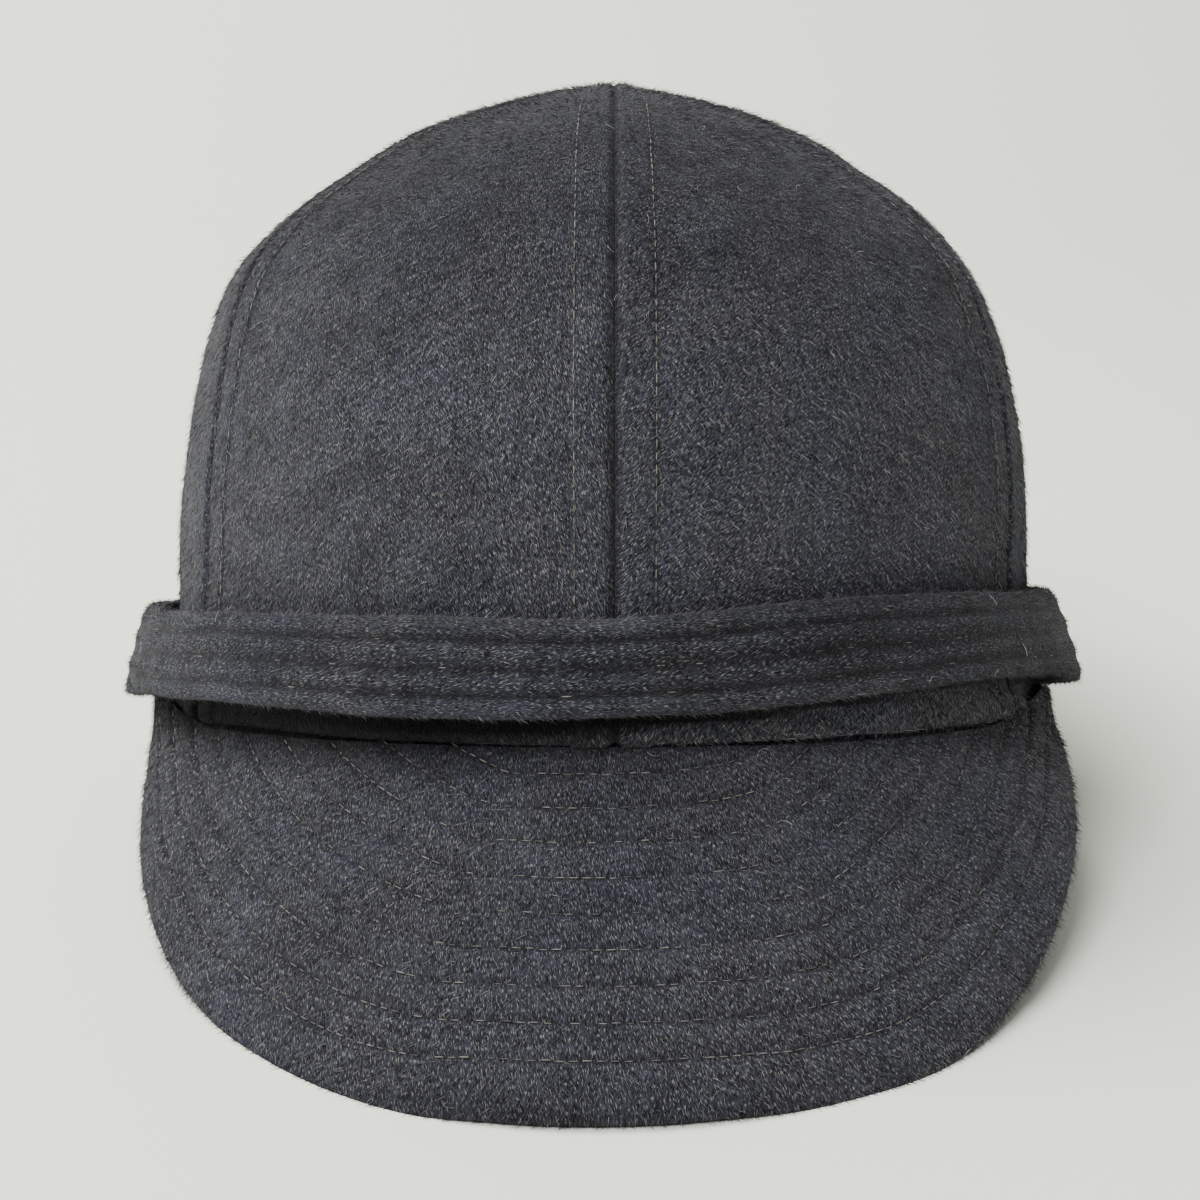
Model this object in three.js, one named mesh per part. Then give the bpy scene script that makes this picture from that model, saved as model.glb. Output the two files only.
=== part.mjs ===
// A wool work cap: a tall six-panel crown, a doubled ear band round its foot and a short soft peak.
//
// The cap is drawn in an upright frame in millimetres: +Z up the crown, the front towards -Y, right
// and left as seen from the front, and the crown's rim in the plane Z = 0. Then the whole cap is
// tipped back until the peak's front edge and the back of the band stand on one table plane.

import * as THREE from 'three';

const deg = THREE.MathUtils.degToRad;

// Cloth and sewing
const CROWN_WALL = 3.0; // cloth with its turned seam allowance
const SEW_GAP = 0.3; // clear gap between pieces that are sewn edge to edge

// Crown
const RIM = { half_width: 84.2, half_length: 103.6 };
const TIP_ASIDE = 2.3; // the crown's tip lies a little to the right of its middle
const SEAM_TWIST = deg(1.5); // the crown is sewn on a little turned
const SIDE_SEAM = deg(61); // a sixth of the girth from the front seam
const CROWN_ROWS = 20;

// The crown draws in with height: shares of the rim's reach, and how six-sided it is there
const CROWN_SECTIONS = [
  { z: 0, left: 0.985, right: 0.985, front: 0.985, back: 0.985, facet: 0 },
  { z: 4, left: 1, right: 1, front: 1, back: 1, facet: 0 },
  { z: 14, left: 1, right: 1, front: 1, back: 1.003, facet: 0 },
  { z: 28, left: 0.993, right: 0.999, front: 1, back: 1.005, facet: 0 },
  { z: 42, left: 0.988, right: 1.002, front: 0.998, back: 1.003, facet: 0.05 },
  { z: 56, left: 0.97, right: 0.989, front: 0.986, back: 0.986, facet: 0.1 },
  { z: 70, left: 0.938, right: 0.95, front: 0.963, back: 0.96, facet: 0.15 },
  { z: 82, left: 0.886, right: 0.882, front: 0.921, back: 0.914, facet: 0.2 },
  { z: 92, left: 0.784, right: 0.765, front: 0.846, back: 0.832, facet: 0.25 },
  { z: 100, left: 0.65, right: 0.632, front: 0.751, back: 0.732, facet: 0.3 },
  { z: 106.5, left: 0.522, right: 0.516, front: 0.656, back: 0.632, facet: 0.3 },
  { z: 111.5, left: 0.382, right: 0.382, front: 0.54, back: 0.51, facet: 0.25 },
  { z: 115.2, left: 0.248, right: 0.25, front: 0.4, back: 0.37, facet: 0.2 },
  { z: 118, left: 0.128, right: 0.13, front: 0.24, back: 0.215, facet: 0.1 },
  { z: 119.4, left: 0.012, right: 0.012, front: 0.012, back: 0.012, facet: 0 },
];
const FLAT_PANEL = 0.134; // how far a wholly flat panel would lie inside the round

// Sewn edge of a panel: the cloth rolls in at the seam and stands up over its pressed allowance
const SEAM_RELIEF = [
  { from_seam: 0, height: -0.9 },
  { from_seam: 1.5, height: 0.45 },
  { from_seam: 6.8, height: 0.45 },
  { from_seam: 8.8, height: 0 },
];
const PANEL_SPANS = 5; // between its two sewn edges
const FULL_WIDTH = 44; // a panel narrower than this squeezes its seam relief

// Ear band: two thicknesses of cloth, standing off the crown further at its lower edge.
// It droops behind the temples, and its left and right sides sit unevenly.
const BAND_WALL = 4.4;
const BAND_FOLD = 1.3; // how far its folded edges round off
const BAND_STATIONS = 72;
const BAND_SECTIONS = [
  { turn: -180, top: 19.0, bottom: -1.0, stand_off: 0.5, lean: 1.2 },
  { turn: -120, top: 17.6, bottom: -1.2, stand_off: 0.8, lean: 3.0 },
  { turn: -85, top: 17.8, bottom: 0.4, stand_off: 1.4, lean: 4.4 },
  { turn: -63, top: 18.4, bottom: 3.0, stand_off: 1.1, lean: 4.2 },
  { turn: -40, top: 19.6, bottom: 3.7, stand_off: 0.6, lean: 3.4 },
  { turn: -18, top: 20.1, bottom: 3.4, stand_off: 0.4, lean: 2.8 },
  { turn: 0, top: 19.9, bottom: 3.9, stand_off: 0.4, lean: 2.6 },
  { turn: 17, top: 21.8, bottom: 5.0, stand_off: 0.4, lean: 2.8 },
  { turn: 34, top: 23.0, bottom: 6.8, stand_off: 0.4, lean: 3.4 },
  { turn: 48, top: 22.8, bottom: 7.8, stand_off: 0.4, lean: 4.4 },
  { turn: 66, top: 22.0, bottom: 6.6, stand_off: 0.4, lean: 5.4 },
  { turn: 85, top: 21.0, bottom: 2.6, stand_off: 0.4, lean: 6.0 },
  { turn: 108, top: 19.8, bottom: -1.2, stand_off: 0.5, lean: 4.6 },
  { turn: 180, top: 19.0, bottom: -1.0, stand_off: 0.5, lean: 1.2 },
];

// Peak: its reach from the rim, measured along the cloth, falls away from the front to its two ends
const PEAK_REACH = [
  { turn: 0, left: 66.6, right: 66.6 },
  { turn: 12, left: 66.8, right: 66.2 },
  { turn: 24, left: 67, right: 65.6 },
  { turn: 36, left: 63.6, right: 61.6 },
  { turn: 48, left: 56.4, right: 49 },
  { turn: 58, left: 46.8, right: 33.2 },
  { turn: 68, left: 31.4, right: 17.6 },
  { turn: 75, left: 13.4, right: 8 },
  { turn: 80, left: 1.5, right: 1.5 },
];
const PEAK_SPAN = 80;
const PEAK_SLOPE = deg(54.2); // below the rim's plane
const PEAK_FLARE = { left: { near: 0, far: 0.097 }, right: { near: 0.127, far: 0.383 } };
const PEAK_INSET = { front: 2.6, side: -2.3 }; // the bend lies under the rim in front, outside it at the sides
const PEAK_DROP = { front: 2.0, side: 2.7 };
const PEAK_TOP_CLOTH = 2.4;
const PEAK_UNDER_CLOTH = 2.1;
const PEAK_STATIONS = 36;
const PEAK_ROWS = 9;

// How far the cloth gives where it bears on the table
const SETTLE = 1.1;

const CLOTH_COLOUR = new THREE.Color(0.062, 0.063, 0.07);

function clothMaterial() {
  return new THREE.MeshStandardMaterial({ color: CLOTH_COLOUR, roughness: 0.95, metalness: 0 });
}

// A smooth curve through one column of a table whose rows are placed by their turn
function tableCurve(table, column) {
  const slopeAt = (i) => {
    const low = table[Math.max(i - 1, 0)];
    const high = table[Math.min(i + 1, table.length - 1)];
    return (high[column] - low[column]) / (high.turn - low.turn);
  };
  return (turn) => {
    const x = THREE.MathUtils.clamp(turn, table[0].turn, table[table.length - 1].turn);
    const i = Math.max(table.findIndex((row) => row.turn >= x), 1) - 1;
    const span = table[i + 1].turn - table[i].turn;
    const t = (x - table[i].turn) / span;
    const start = table[i][column];
    const rise = table[i + 1][column] - start;
    const from = slopeAt(i) * span - rise;
    const to = rise - slopeAt(i + 1) * span;
    return start + rise * t + t * (1 - t) * (from * (1 - t) + to * t);
  };
}

// The same through a column of the crown's sections, at a share of the way up its cloth
function crownCurve(column) {
  const points = CROWN_SECTIONS.map((row) => new THREE.Vector3(row[column], row.z, 0));
  const curve = new THREE.CatmullRomCurve3(points, false, 'catmullrom', 0.5);
  return (share) => curve.getPoint(share);
}

const crownAt = {
  left: crownCurve('left'),
  right: crownCurve('right'),
  front: crownCurve('front'),
  back: crownCurve('back'),
  facet: crownCurve('facet'),
};

// A turn brought between 0 at the front and 180 degrees at the back
function folded(turn) {
  return Math.abs(Math.atan2(Math.sin(turn), Math.cos(turn)));
}

// 0 on a seam and 1 half way between two
function betweenSeams(turn) {
  const seams = [0, SIDE_SEAM, Math.PI - SIDE_SEAM, Math.PI];
  const at = folded(turn - SEAM_TWIST);
  const high = Math.max(seams.findIndex((seam) => at <= seam), 1);
  const low = high - 1;
  return Math.sin((Math.PI * (at - seams[low])) / (seams[high] - seams[low]));
}

// A point of the crown round its turn, which is 0 at the front and grows to the right
function roundPoint(turn, share) {
  const side = Math.sin(turn) > 0 ? crownAt.right(share) : crownAt.left(share);
  const length = Math.cos(turn) > 0 ? crownAt.front(share) : crownAt.back(share);
  return new THREE.Vector3(
    RIM.half_width * side.x * Math.sin(turn) + TIP_ASIDE * (1 - side.x),
    -RIM.half_length * length.x * Math.cos(turn),
    side.y,
  );
}

// The same with its panels flattened between the seams
function crownPoint(turn, share) {
  const draw = 1 - FLAT_PANEL * crownAt.facet(share).x * betweenSeams(turn);
  const point = roundPoint(turn, share);
  return point.set(point.x * draw, point.y * draw, point.z);
}

function normalOf(surface, u, v) {
  const step = 1e-3;
  const du = surface(u + step, v).sub(surface(u - step, v));
  const dv = surface(u, v + step).sub(surface(u, v - step));
  return du.cross(dv).normalize();
}

// The table plane in the upright frame, under the peak's front edge and the back of the band
const table = (() => {
  const out = BAND_WALL * 0.6 + BAND_SECTIONS[0].stand_off + BAND_SECTIONS[0].lean;
  const back = new THREE.Vector3(0, RIM.half_length + out, BAND_SECTIONS[0].bottom);
  const reach = PEAK_REACH[0].left;
  const front = new THREE.Vector3(
    0,
    PEAK_INSET.front - RIM.half_length - reach * Math.cos(PEAK_SLOPE),
    -PEAK_DROP.front - reach * Math.sin(PEAK_SLOPE),
  );
  const down = new THREE.Vector3(0, Math.sin(PEAK_SLOPE), -Math.cos(PEAK_SLOPE));
  front.addScaledVector(down, SEW_GAP / 2 + PEAK_UNDER_CLOTH);
  const tip = Math.atan2(back.z - front.z, back.y - front.y);
  const normal = new THREE.Vector3(0, -Math.sin(tip), Math.cos(tip));
  return { tip, normal, point: back.addScaledVector(normal, SETTLE) };
})();

// Cloth that would reach through the table lies flat on it
function settled(point) {
  const height = point.clone().sub(table.point).dot(table.normal);
  return height < 0 ? point.clone().addScaledVector(table.normal, -height) : point;
}

function signedVolume(positions, index) {
  const corner = (i) => new THREE.Vector3().fromArray(positions, 3 * index[i]);
  let sum = 0;
  for (let i = 0; i < index.length; i += 3) {
    sum += corner(i).dot(corner(i + 1).cross(corner(i + 2)));
  }
  return sum / 6;
}

// A solid through sections that each run out along one face of the cloth and back along the other
function loft(sections, closed) {
  const count = sections[0].length;
  const last = sections.length - 1;
  const positions = sections.flat().flatMap((point) => settled(point).toArray());
  const index = [];
  const at = (ring, i) => (ring % sections.length) * count + (i % count);
  for (let ring = 0; ring < last + (closed ? 1 : 0); ring += 1) {
    for (let i = 0; i < count; i += 1) {
      index.push(at(ring, i), at(ring, i + 1), at(ring + 1, i + 1));
      index.push(at(ring, i), at(ring + 1, i + 1), at(ring + 1, i));
    }
  }
  for (let i = 0; i < count / 2 - 1 && !closed; i += 1) {
    const j = count - 1 - i;
    index.push(at(0, i), at(0, j), at(0, j - 1));
    index.push(at(0, i), at(0, j - 1), at(0, i + 1));
    index.push(at(last, i), at(last, j - 1), at(last, j));
    index.push(at(last, i), at(last, i + 1), at(last, j - 1));
  }
  if (signedVolume(positions, index) < 0) {
    index.reverse();
  }
  const geometry = new THREE.BufferGeometry();
  geometry.setAttribute('position', new THREE.Float32BufferAttribute(positions, 3));
  geometry.setIndex(index);
  geometry.computeVertexNormals();
  return geometry;
}

function clothMesh(name, sections, closed = false) {
  const mesh = new THREE.Mesh(loft(sections, closed), clothMaterial());
  mesh.name = name;
  return mesh;
}

// Where a panel's columns stand, as a distance in from its first seam, with the relief there
function panelColumns(width) {
  const squeeze = Math.min(1, width / FULL_WIDTH);
  const edge = SEAM_RELIEF.map((row) => ({
    at: row.from_seam * squeeze,
    height: row.height * squeeze,
  }));
  const inset = edge[edge.length - 1].at;
  const middle = [];
  for (let i = 1; i < PANEL_SPANS; i += 1) {
    middle.push({ at: inset + ((width - 2 * inset) * i) / PANEL_SPANS, height: 0 });
  }
  const farEdge = edge.map((row) => ({ at: width - row.at, height: row.height })).reverse();
  return [...edge, ...middle, ...farEdge];
}

// One gore of the crown, between two seams
function crownPanel(name, fromSeam, toSeam) {
  const sections = [];
  for (let row = 0; row <= CROWN_ROWS; row += 1) {
    const share = row / CROWN_ROWS;
    const level = THREE.MathUtils.clamp(share, 0.02, 0.98);
    const start = crownPoint(fromSeam, share);
    const middle = crownPoint((fromSeam + toSeam) / 2, share);
    const end = crownPoint(toSeam, share);
    const girth = start.distanceTo(middle) + middle.distanceTo(end);
    const wall = Math.min(CROWN_WALL, 1 + 0.35 * girth);
    const outer = [];
    const inner = [];
    for (const column of panelColumns(girth - SEW_GAP)) {
      const turn = fromSeam + ((toSeam - fromSeam) * (column.at + SEW_GAP / 2)) / girth;
      const out = normalOf(roundPoint, turn, level);
      const face = crownPoint(turn, share);
      outer.push(face.clone().addScaledVector(out, column.height));
      inner.push(face.clone().addScaledVector(out, -wall));
    }
    sections.push([...outer, ...inner.reverse()]);
  }
  return clothMesh(name, sections);
}

const bandAt = {
  top: tableCurve(BAND_SECTIONS, 'top'),
  bottom: tableCurve(BAND_SECTIONS, 'bottom'),
  stand_off: tableCurve(BAND_SECTIONS, 'stand_off'),
  lean: tableCurve(BAND_SECTIONS, 'lean'),
};

// The ear band's section at one turn: up its outer face and down its inner one
function bandSection(turn) {
  const at = THREE.MathUtils.radToDeg(turn);
  const foot = new THREE.Vector3(RIM.half_width * Math.sin(turn), -RIM.half_length * Math.cos(turn), 0);
  const away = new THREE.Vector3(
    Math.sin(turn) / RIM.half_width,
    -Math.cos(turn) / RIM.half_length,
    0,
  ).normalize();
  const top = bandAt.top(at);
  const bottom = bandAt.bottom(at);
  const middle = (top + bottom) / 2;
  const crownFace = SEAM_RELIEF[1].height + bandAt.stand_off(at);
  const corner = (share, height) => {
    const lean = (bandAt.lean(at) * (top - height)) / (top - bottom);
    const point = foot.clone().addScaledVector(away, crownFace + lean + BAND_WALL * share);
    return point.setZ(height);
  };
  return [
    corner(0.72, bottom),
    corner(1, bottom + BAND_FOLD),
    corner(1, middle),
    corner(1, top - BAND_FOLD),
    corner(0.72, top),
    corner(0.28, top),
    corner(0, top - BAND_FOLD),
    corner(0, middle),
    corner(0, bottom + BAND_FOLD),
    corner(0.28, bottom),
  ];
}

function earBand() {
  const sections = [];
  for (let i = 0; i < BAND_STATIONS; i += 1) {
    sections.push(bandSection((2 * Math.PI * i) / BAND_STATIONS - Math.PI));
  }
  return clothMesh('ear_band', sections, true);
}

const peakReach = {
  left: tableCurve(PEAK_REACH, 'left'),
  right: tableCurve(PEAK_REACH, 'right'),
};

// A point of the peak's middle surface. Swing goes from -1 at its left end to 1 at its right.
function peakPoint(swing, share) {
  const side = swing < 0 ? 'left' : 'right';
  const turnDeg = PEAK_SPAN * Math.sin((Math.PI / 2) * swing);
  const turn = deg(turnDeg);
  const sideways = Math.sin(turn) ** 2;
  const inset = THREE.MathUtils.lerp(PEAK_INSET.front, PEAK_INSET.side, sideways);
  const drop = THREE.MathUtils.lerp(PEAK_DROP.front, PEAK_DROP.side, sideways);
  const flare = PEAK_FLARE[side];
  const heading = flare.near * turn + flare.far * turn ** 3;
  const reach = peakReach[side](Math.abs(turnDeg)) * share;
  return new THREE.Vector3(
    (RIM.half_width - inset) * Math.sin(turn) + reach * Math.cos(PEAK_SLOPE) * Math.sin(heading),
    -(RIM.half_length - PEAK_INSET.front) * Math.cos(turn) - reach * Math.cos(PEAK_SLOPE) * Math.cos(heading),
    -drop - reach * Math.sin(PEAK_SLOPE),
  );
}

// One cloth of the peak, between two heights over its middle surface. Its sewn edge turns in
// under the crown's wall.
function peakCloth(name, low, high) {
  const tuckDepth = SEW_GAP + SEW_GAP / 2 + PEAK_TOP_CLOTH;
  const sections = [];
  for (let i = 0; i <= PEAK_STATIONS; i += 1) {
    const swing = (2 * i) / PEAK_STATIONS - 1;
    const turn = deg(PEAK_SPAN * Math.sin((Math.PI / 2) * swing));
    const rimShare = CROWN_SECTIONS[0].front;
    const tuck = new THREE.Vector3(
      (RIM.half_width * rimShare - CROWN_WALL) * Math.sin(turn),
      -(RIM.half_length * rimShare - CROWN_WALL) * Math.cos(turn),
      -tuckDepth,
    );
    const up = new THREE.Vector3(0, 0, 1);
    const faces = { low: [], high: [] };
    faces.low.push(tuck.clone().addScaledVector(up, low));
    faces.high.push(tuck.clone().addScaledVector(up, high));
    for (let row = 0; row <= PEAK_ROWS; row += 1) {
      const share = 0.016 + (0.984 * row) / PEAK_ROWS;
      const out = normalOf(peakPoint, swing, share).negate();
      const lift = row === 0 ? out.add(up).normalize() : out;
      const centre = peakPoint(swing, share);
      faces.low.push(centre.clone().addScaledVector(lift, low));
      faces.high.push(centre.clone().addScaledVector(lift, high));
    }
    sections.push([...faces.high, ...faces.low.reverse()]);
  }
  return clothMesh(name, sections);
}

const FRONT = SEAM_TWIST;
const BACK = Math.PI + SEAM_TWIST;

const crown = new THREE.Group();
crown.add(crownPanel('crown_front_right', FRONT, FRONT + SIDE_SEAM));
crown.add(crownPanel('crown_side_right', FRONT + SIDE_SEAM, BACK - SIDE_SEAM));
crown.add(crownPanel('crown_back_right', BACK - SIDE_SEAM, BACK));
crown.add(crownPanel('crown_back_left', BACK, BACK + SIDE_SEAM));
crown.add(crownPanel('crown_side_left', BACK + SIDE_SEAM, 2 * Math.PI + FRONT - SIDE_SEAM));
crown.add(crownPanel('crown_front_left', FRONT - SIDE_SEAM, FRONT));

const peak = new THREE.Group();
peak.add(peakCloth('peak_top', SEW_GAP / 2, SEW_GAP / 2 + PEAK_TOP_CLOTH));
peak.add(peakCloth('peak_under', -SEW_GAP / 2 - PEAK_UNDER_CLOTH, -SEW_GAP / 2));

const cap = new THREE.Group();
cap.add(crown);
cap.add(earBand());
cap.add(peak);

// Stand the cap on its table and put the origin under the middle of it
cap.rotation.x = -table.tip;
cap.updateMatrixWorld(true);
const box = new THREE.Box3().setFromObject(cap, true);
const centre = box.getCenter(new THREE.Vector3());
cap.position.set(-centre.x, -centre.y, -box.min.z);

const model = new THREE.Group();
model.add(cap);

export default model;
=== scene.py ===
# %% [markdown]
# # A charcoal wool work cap
# The cap is a tall crown of six gores, a doubled ear band that stands off the crown's foot, and a
# short soft peak quilted with rows of stitching. The frame brings in the plain solids of the part.
# Each of them is replaced here by a finer cloth piece that lies in the same place.

# %% Load the frame
import math

import bmesh
import bpy
import numpy as np
from mathutils import Matrix, Vector, noise


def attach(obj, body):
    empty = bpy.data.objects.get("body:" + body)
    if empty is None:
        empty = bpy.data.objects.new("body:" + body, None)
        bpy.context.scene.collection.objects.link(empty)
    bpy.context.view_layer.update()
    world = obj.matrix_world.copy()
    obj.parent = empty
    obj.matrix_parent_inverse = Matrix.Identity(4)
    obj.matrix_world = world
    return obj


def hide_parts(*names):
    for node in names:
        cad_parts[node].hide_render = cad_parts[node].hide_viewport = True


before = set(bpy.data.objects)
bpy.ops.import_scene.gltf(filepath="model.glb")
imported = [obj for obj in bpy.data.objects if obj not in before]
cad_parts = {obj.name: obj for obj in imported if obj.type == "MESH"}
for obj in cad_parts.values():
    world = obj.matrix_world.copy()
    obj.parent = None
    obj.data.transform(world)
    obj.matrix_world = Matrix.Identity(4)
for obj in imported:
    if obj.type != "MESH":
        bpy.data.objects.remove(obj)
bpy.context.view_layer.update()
print("nodes:", sorted(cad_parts))

# %% [markdown]
# The cap is easiest to think of upright, in millimetres: up the crown is Z, the front is towards
# -Y, and the crown's rim is the plane Z = 0. In the scene it rests tipped back on its peak and the
# back of its band. One matrix takes every upright millimetre to its place in the scene in metres.

# %% Upright millimetres to scene metres
TIP_BACK = math.radians(12.8944)
ORIGIN_MM = Vector((-0.2663, 18.8361, 23.9621))
STAND = Matrix.Translation(ORIGIN_MM * 0.001) @ Matrix.Rotation(-TIP_BACK, 4, "X") @ Matrix.Scale(0.001, 4)
STAND_NP, BACK_TO_MM = np.array(STAND), np.array(STAND.inverted())


def to_scene(points):
    """Upright millimetres, one row a point, to scene metres. The table presses the cloth flat."""
    placed = points @ STAND_NP[:3, :3].T + STAND_NP[:3, 3]
    placed[:, 2] = np.maximum(placed[:, 2], 0)
    return placed


def to_upright(points):
    """Scene metres back to upright millimetres."""
    return points @ BACK_TO_MM[:3, :3].T + BACK_TO_MM[:3, 3]


# %% [markdown]
# Short tables say how the cap is cut. They are the part's own, so that the cloth pieces lie where
# its solids lie. The first says how the crown draws in with height, as shares of the rim's reach.

# %% Tables of the cut
CROWN = np.array([
    # z, left, right, front, back, how six-sided
    (0, 0.985, 0.985, 0.985, 0.985, 0),
    (4, 1, 1, 1, 1, 0),
    (14, 1, 1, 1, 1.003, 0),
    (28, 0.993, 0.999, 1, 1.005, 0),
    (42, 0.988, 1.002, 0.998, 1.003, 0.05),
    (56, 0.97, 0.989, 0.986, 0.986, 0.1),
    (70, 0.938, 0.95, 0.963, 0.96, 0.15),
    (82, 0.886, 0.882, 0.921, 0.914, 0.2),
    (92, 0.784, 0.765, 0.846, 0.832, 0.25),
    (100, 0.65, 0.632, 0.751, 0.732, 0.3),
    (106.5, 0.522, 0.516, 0.656, 0.632, 0.3),
    (111.5, 0.382, 0.382, 0.54, 0.51, 0.25),
    (115.2, 0.248, 0.25, 0.4, 0.37, 0.2),
    (118, 0.128, 0.13, 0.24, 0.215, 0.1),
    (119.4, 0.012, 0.012, 0.012, 0.012, 0),
])
BAND = np.array([
    # turn, top, bottom, stand-off, lean
    (-180, 19.0, -1.0, 0.5, 1.2),
    (-120, 17.6, -1.2, 0.8, 3.0),
    (-85, 17.8, 0.4, 1.4, 4.4),
    (-63, 18.4, 3.0, 1.1, 4.2),
    (-40, 19.6, 3.7, 0.6, 3.4),
    (-18, 20.1, 3.4, 0.4, 2.8),
    (0, 19.9, 3.9, 0.4, 2.6),
    (17, 21.8, 5.0, 0.4, 2.8),
    (34, 23.0, 6.8, 0.4, 3.4),
    (48, 22.8, 7.8, 0.4, 4.4),
    (66, 22.0, 6.6, 0.4, 5.4),
    (85, 21.0, 2.6, 0.4, 6.0),
    (108, 19.8, -1.2, 0.5, 4.6),
    (180, 19.0, -1.0, 0.5, 1.2),
])
PEAK = np.array([
    # turn, left reach, right reach
    (0, 66.6, 66.6),
    (12, 66.8, 66.2),
    (24, 67.0, 65.6),
    (36, 63.6, 61.6),
    (48, 56.4, 49.0),
    (58, 46.8, 33.2),
    (68, 31.4, 17.6),
    (75, 13.4, 8.0),
    (80, 1.5, 1.5),
])
HALF_WIDTH, HALF_LENGTH, TIP_ASIDE = 84.2, 103.6, 2.3
SEAM_TWIST, SIDE_SEAM = math.radians(1.5), math.radians(61)
print("tables:", CROWN.shape, BAND.shape, PEAK.shape)


# %% Curves through the tables
def table_curve(table, column, x):
    """A smooth curve through a column, over the first column of a table."""
    keys, values = table[:, 0], table[:, column]
    x = np.clip(x, keys[0], keys[-1])
    low = np.clip(np.arange(len(keys)) - 1, 0, None)
    high = np.clip(np.arange(len(keys)) + 1, None, len(keys) - 1)
    slope = (values[high] - values[low]) / (keys[high] - keys[low])
    i = np.clip(np.searchsorted(keys, x, side="left") - 1, 0, len(keys) - 2)
    span = keys[i + 1] - keys[i]
    t = (x - keys[i]) / span
    rise = values[i + 1] - values[i]
    start, end = slope[i] * span - rise, rise - slope[i + 1] * span
    return values[i] + rise * t + t * (1 - t) * (start * (1 - t) + end * t)


def crown_curve(column, share):
    """A smooth curve up the rows of the crown's table, evenly timed from row to row."""
    v = CROWN[:, column]
    padded = np.concatenate([[2 * v[0] - v[1]], v, [2 * v[-1] - v[-2]]])
    at = np.clip(share, 0, 1) * (len(v) - 1)
    i = np.clip(np.floor(at).astype(int), 0, len(v) - 2)
    t = at - i
    a, b, c, d = padded[i], padded[i + 1], padded[i + 2], padded[i + 3]
    m, n = (c - a) / 2, (d - b) / 2
    return b + m * t + (3 * (c - b) - 2 * m - n) * t**2 + (2 * (b - c) + m + n) * t**3


# %% [markdown]
# Each part of the cap is a function from two flat cloth coordinates to a point in space, as a
# paper pattern is. The crown takes a turn round the head and a share of the way up its cloth.

# %% The crown's surface
def smooth(low, high, x):
    t = np.clip((x - low) / (high - low), 0, 1)
    return t * t * (3 - 2 * t)


def between_seams(turn):
    """0 on a seam and 1 half way between two."""
    turn = turn - SEAM_TWIST
    at = np.abs(np.arctan2(np.sin(turn), np.cos(turn)))
    seams = np.array([0, SIDE_SEAM, math.pi - SIDE_SEAM, math.pi])
    i = np.clip(np.searchsorted(seams, at, side="left") - 1, 0, 2)
    return np.sin(np.pi * (at - seams[i]) / (seams[i + 1] - seams[i]))


def crown_surface(turn, share):
    turn, share = np.broadcast_arrays(turn, share)
    side = np.where(np.sin(turn) > 0, crown_curve(2, share), crown_curve(1, share))
    length = np.where(np.cos(turn) > 0, crown_curve(3, share), crown_curve(4, share))
    draw = 1 - 0.134 * crown_curve(5, share) * between_seams(turn)
    x = (HALF_WIDTH * side * np.sin(turn) + TIP_ASIDE * (1 - side)) * draw
    y = -HALF_LENGTH * length * np.cos(turn) * draw
    return np.stack([x, y, crown_curve(0, share)], -1)


def surface_normals(surface, u, v, step=0.002):
    """Unit normals of a surface of two coordinates, from its slopes."""
    du = surface(u + step, v) - surface(u - step, v)
    dv = surface(u, v + step) - surface(u, v - step)
    n = np.cross(du, dv)
    return n / (np.linalg.norm(n, axis=-1, keepdims=True) + 1e-9)


# %% [markdown]
# The peak is a crescent of cloth bent round the front of the rim. It takes a swing, from -1 at its
# left end to 1 at its right, and a share of its reach from the rim to its outer edge.

# %% The peak's surface
PEAK_SLOPE, PEAK_SPAN = math.radians(54.2), 80


def peak_turn(swing):
    return PEAK_SPAN * np.sin(np.pi / 2 * swing)


def peak_surface(swing, share):
    swing, share = np.broadcast_arrays(swing, share)
    degrees = peak_turn(swing)
    turn, right = np.radians(degrees), swing >= 0
    sideways = np.sin(turn) ** 2
    inset, drop = 2.6 - 4.9 * sideways, 2.0 + 0.7 * sideways
    heading = np.where(right, 0.127, 0.0) * turn + np.where(right, 0.383, 0.097) * turn**3
    reach = np.where(right, table_curve(PEAK, 2, np.abs(degrees)), table_curve(PEAK, 1, np.abs(degrees)))
    out = reach * share * math.cos(PEAK_SLOPE)
    x = (HALF_WIDTH - inset) * np.sin(turn) + out * np.sin(heading)
    y = -(HALF_LENGTH - 2.6) * np.cos(turn) - out * np.cos(heading)
    return np.stack([x, y, -drop - reach * share * math.sin(PEAK_SLOPE)], -1)


# %% [markdown]
# The band takes a turn round the head and a place round its own section: a flat loop, as the cloth
# is folded over at its top and at its bottom.

# %% The band's surface
BAND_WALL = 4.4


def away_from_head(turn):
    """The level way straight out from the rim."""
    away = np.stack([np.sin(turn) / HALF_WIDTH, -np.cos(turn) / HALF_LENGTH, 0 * turn], -1)
    return away / np.linalg.norm(away, axis=-1, keepdims=True)


def band_surface(turn, around):
    """around goes from 0 at the bottom fold up the outer face to 0.5 at the top, and down inside."""
    at = np.degrees(np.arctan2(np.sin(turn), np.cos(turn)))
    top, bottom = table_curve(BAND, 1, at), table_curve(BAND, 2, at)
    angle = 2 * np.pi * around
    c, s = np.cos(angle), np.sin(angle)
    height = (top + bottom) / 2 - (top - bottom) / 2 * np.sign(c) * np.abs(c) ** 0.8
    across = 0.5 + 0.5 * np.sign(s) * np.abs(s) ** 0.28
    lean = table_curve(BAND, 4, at) * (top - height) / (top - bottom)
    out = 0.45 + table_curve(BAND, 3, at) + lean + BAND_WALL * across
    foot = np.stack([HALF_WIDTH * np.sin(turn), -HALF_LENGTH * np.cos(turn), height], -1)
    return foot + away_from_head(turn) * out[..., None]


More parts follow.
